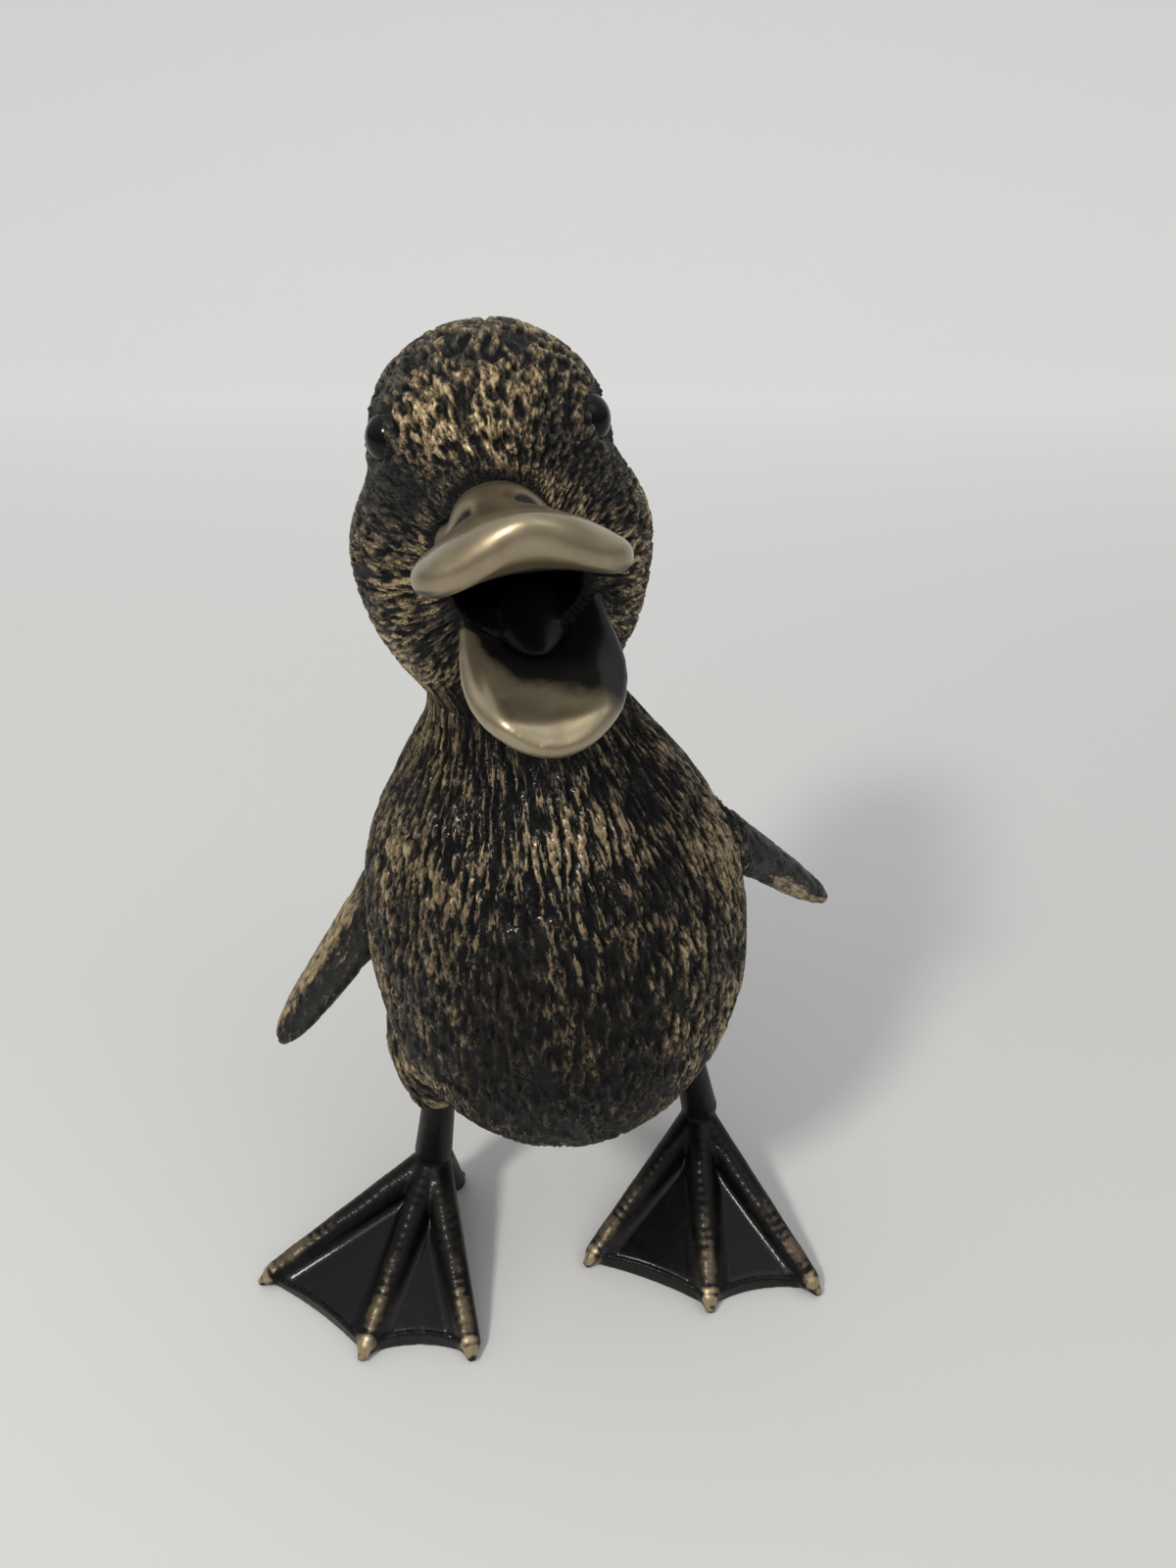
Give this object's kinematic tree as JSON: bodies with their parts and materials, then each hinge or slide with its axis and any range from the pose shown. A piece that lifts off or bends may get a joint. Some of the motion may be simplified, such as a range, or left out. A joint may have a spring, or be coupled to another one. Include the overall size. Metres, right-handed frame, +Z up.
{
  "type": "duckling figurine",
  "caption": "Free-standing cast duckling ornament that calls with its bill wide open, short wings held out, on webbed feet.",
  "frame": {"origin": "on the ground under the middle of the figure's outline", "axes": "+Z up, the figure stands looking along -Y, its left side is at +X"},
  "size_m": [0.092, 0.0758, 0.1437],
  "materials": {
    "feather_patina": "near-black patina, rubbed back to pale brass on the raised feathers, waxed",
    "foot_patina": "glossy black patina, rubbed to brass on the claws and web edges",
    "polished_brass": "smooth pale brass, half polished",
    "mouth_patina": "glossy black patina",
    "black_glass": "opaque black bead, polished",
    "raw_brass": "as turned or cut, not patinated inside"
  },
  "bodies": {
    "root": {"body_casting": "feather_patina", "head_casting": "feather_patina", "right_wing": "feather_patina", "left_wing": "feather_patina", "right_leg": "foot_patina", "left_leg": "foot_patina", "upper_bill": "polished_brass", "lower_bill": "polished_brass", "tongue": "mouth_patina", "right_eye": "black_glass", "left_eye": "black_glass", "neck_sleeve": "raw_brass", "neck_pins": "raw_brass", "bill_pins": "raw_brass", "leg_pins": "raw_brass", "wing_pins": "raw_brass", "core_plugs": "raw_brass", "belly_plug": "raw_brass"}
  },
  "joints": []
}
